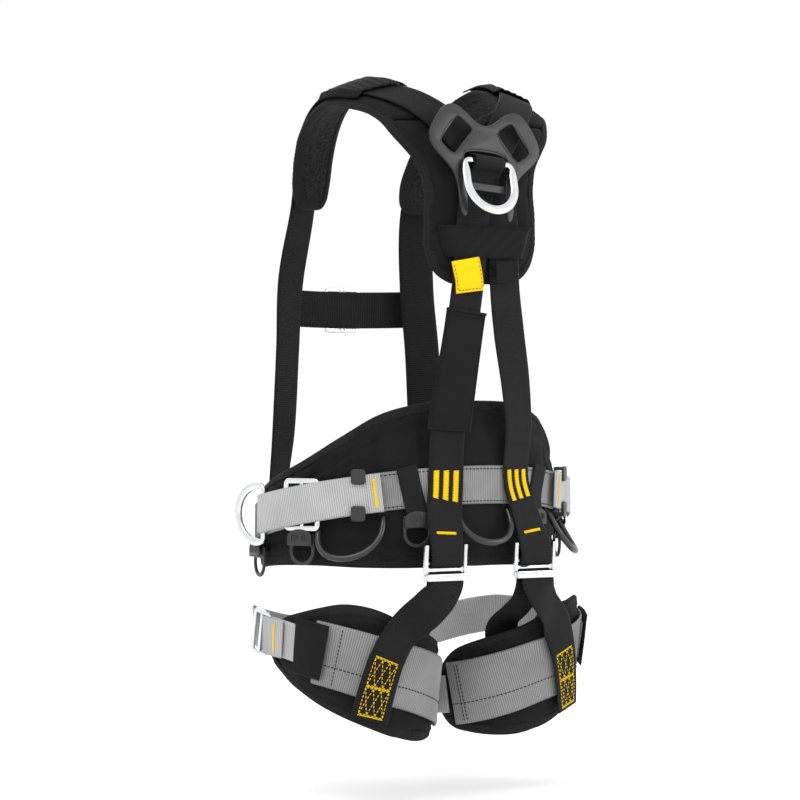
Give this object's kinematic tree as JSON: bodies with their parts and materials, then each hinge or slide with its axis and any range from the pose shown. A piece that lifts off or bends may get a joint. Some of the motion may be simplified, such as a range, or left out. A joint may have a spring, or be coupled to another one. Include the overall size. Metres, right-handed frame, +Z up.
{
  "type": "full-body climbing harness",
  "caption": "Padded full-body climbing harness: shoulder yoke with a back D-ring, wide waist belt with side D-rings, gear loops, and two padded leg loops.",
  "frame": {"origin": "on the wearer's spine axis, inside the belt, at the height of the belt webbing at the centre of the back", "axes": "+Z up, +Y to the wearer's back, +X to the wearer's left"},
  "size_m": [0.4336, 0.3398, 0.779],
  "materials": {
    "pad_fabric": "black woven polyester over foam, bound edges",
    "black_webbing": "woven polyester webbing, ribbed",
    "grey_webbing": "woven polyester webbing, ribbed",
    "tag_fabric": "yellow sewn fabric tag, plain",
    "moulded_plastic": "satin moulded nylon",
    "polished_alloy": "polished"
  },
  "bodies": {
    "harness": {"yoke_pad": "pad_fabric", "main_strap_left": "black_webbing", "main_strap_right": "black_webbing", "retaining_band": "black_webbing", "shoulder_sleeve_left": "pad_fabric", "shoulder_sleeve_right": "pad_fabric", "dorsal_plate": "moulded_plastic", "strap_keeper_bar": "moulded_plastic", "ring_strap": "black_webbing", "indicator_tag": "tag_fabric", "maker_tag": "black_webbing", "label_sleeve": "pad_fabric", "back_support_pad": "pad_fabric", "waist_webbing": "grey_webbing", "front_waist_webbing": "grey_webbing", "side_strap_left": "grey_webbing", "side_strap_right": "grey_webbing", "belt_buckle_left": "polished_alloy", "belt_buckle_right": "polished_alloy", "rear_accessory_tab_left": "black_webbing", "rear_accessory_tab_right": "black_webbing", "side_accessory_tab_left": "black_webbing", "side_accessory_tab_right": "black_webbing", "front_accessory_tab_left": "black_webbing", "front_accessory_tab_right": "black_webbing", "chest_strap": "black_webbing", "chest_buckle": "polished_alloy", "front_buckle": "polished_alloy"},
    "dorsal_ring": {"dorsal_d_ring": "polished_alloy"},
    "side_ring_left": {"side_d_ring_left": "polished_alloy"},
    "side_ring_right": {"side_d_ring_right": "polished_alloy"},
    "gear_loop_left_body": {"gear_loop_left": "moulded_plastic"},
    "gear_loop_right_body": {"gear_loop_right": "moulded_plastic"},
    "gear_loop_rear_body": {"gear_loop_rear": "moulded_plastic"},
    "rear_accessory_left": {"rear_accessory_loop_left": "moulded_plastic"},
    "rear_accessory_right": {"rear_accessory_loop_right": "moulded_plastic"},
    "side_accessory_left": {"side_accessory_loop_left": "moulded_plastic"},
    "side_accessory_right": {"side_accessory_loop_right": "moulded_plastic"},
    "front_accessory_left": {"front_accessory_loop_left": "moulded_plastic"},
    "front_accessory_right": {"front_accessory_loop_right": "moulded_plastic"},
    "adjuster_left": {"rear_adjuster_left": "polished_alloy"},
    "leg_loop_left": {"leg_pad_left": "pad_fabric", "leg_webbing_left": "grey_webbing", "leg_front_strap_left": "grey_webbing", "leg_keeper_left": "black_webbing", "leg_buckle_left": "polished_alloy", "leg_riser_left": "black_webbing"},
    "keeper_left": {"strap_keeper_left": "moulded_plastic"},
    "adjuster_right": {"rear_adjuster_right": "polished_alloy"},
    "leg_loop_right": {"leg_pad_right": "pad_fabric", "leg_webbing_right": "grey_webbing", "leg_front_strap_right": "grey_webbing", "leg_keeper_right": "black_webbing", "leg_buckle_right": "polished_alloy", "leg_riser_right": "black_webbing"},
    "keeper_right": {"strap_keeper_right": "moulded_plastic"}
  },
  "joints": [
    {"name": "dorsal_ring_hinge", "type": "hinge", "parent": "harness", "child": "dorsal_ring", "pos_m": [0.00629, 0.17043, 0.37469], "axis": [0.996, -0.0252, 0.0858], "range_deg": [0, 118]},
    {"name": "side_ring_hinge_left", "type": "hinge", "parent": "harness", "child": "side_ring_left", "pos_m": [0.2046, -0.003, -0.0346], "axis": [0, 0, 1], "range_deg": [0, 100]},
    {"name": "side_ring_hinge_right", "type": "hinge", "parent": "harness", "child": "side_ring_right", "pos_m": [-0.2046, -0.003, -0.0346], "axis": [0, 0, -1], "range_deg": [0, 100]},
    {"name": "gear_loop_hinge_left", "type": "hinge", "parent": "harness", "child": "gear_loop_left_body", "pos_m": [0.14738, 0.09523, -0.04161], "axis": [0.7229, -0.674, -0.1521], "range_deg": [0, 4]},
    {"name": "gear_loop_hinge_right", "type": "hinge", "parent": "harness", "child": "gear_loop_right_body", "pos_m": [-0.14738, 0.09523, -0.04161], "axis": [0.7229, 0.674, 0.1521], "range_deg": [0, 4]},
    {"name": "gear_loop_hinge_rear", "type": "hinge", "parent": "harness", "child": "gear_loop_rear_body", "pos_m": [0, 0.15002, -0.02904], "axis": [1, 0, 0], "range_deg": [0, 12]},
    {"name": "rear_accessory_hinge_left", "type": "hinge", "parent": "harness", "child": "rear_accessory_left", "pos_m": [0.08485, 0.13903, -0.03694], "axis": [0.9387, -0.3447, 0], "range_deg": [0, 8]},
    {"name": "rear_accessory_hinge_right", "type": "hinge", "parent": "harness", "child": "rear_accessory_right", "pos_m": [-0.08485, 0.13903, -0.03694], "axis": [0.9387, 0.3447, 0], "range_deg": [0, 8]},
    {"name": "side_accessory_hinge_left", "type": "hinge", "parent": "harness", "child": "side_accessory_left", "pos_m": [0.18631, 0.05186, -0.05813], "axis": [0.4159, -0.9094, 0], "range_deg": [0, 70]},
    {"name": "side_accessory_hinge_right", "type": "hinge", "parent": "harness", "child": "side_accessory_right", "pos_m": [-0.18631, 0.05186, -0.05813], "axis": [0.4159, 0.9094, 0], "range_deg": [0, 70]},
    {"name": "front_accessory_hinge_left", "type": "hinge", "parent": "harness", "child": "front_accessory_left", "pos_m": [0.19489, -0.02641, -0.07441], "axis": [-0.217, -0.9762, 0], "range_deg": [0, 70]},
    {"name": "front_accessory_hinge_right", "type": "hinge", "parent": "harness", "child": "front_accessory_right", "pos_m": [-0.19489, -0.02641, -0.07441], "axis": [-0.217, 0.9762, 0], "range_deg": [0, 70]},
    {"name": "adjuster_hinge_left", "type": "hinge", "parent": "harness", "child": "adjuster_left", "pos_m": [0.0645, 0.166, -0.089], "axis": [-1, 0, 0], "range_deg": [0, 4]},
    {"name": "leg_loop_hinge_left", "type": "hinge", "parent": "adjuster_left", "child": "leg_loop_left", "pos_m": [0.0645, 0.166, -0.105], "axis": [-1, 0, 0], "range_deg": [0, 6]},
    {"name": "keeper_slide_left", "type": "slide", "parent": "harness", "child": "keeper_left", "axis": [-0.7727, 0.6348, 0], "range_m": [0, 0.003]},
    {"name": "adjuster_hinge_right", "type": "hinge", "parent": "harness", "child": "adjuster_right", "pos_m": [-0.0645, 0.166, -0.089], "axis": [-1, 0, 0], "range_deg": [0, 4]},
    {"name": "leg_loop_hinge_right", "type": "hinge", "parent": "adjuster_right", "child": "leg_loop_right", "pos_m": [-0.0645, 0.166, -0.105], "axis": [-1, 0, 0], "range_deg": [0, 6]},
    {"name": "keeper_slide_right", "type": "slide", "parent": "harness", "child": "keeper_right", "axis": [0.7727, 0.6348, 0], "range_m": [0, 0.003]}
  ]
}
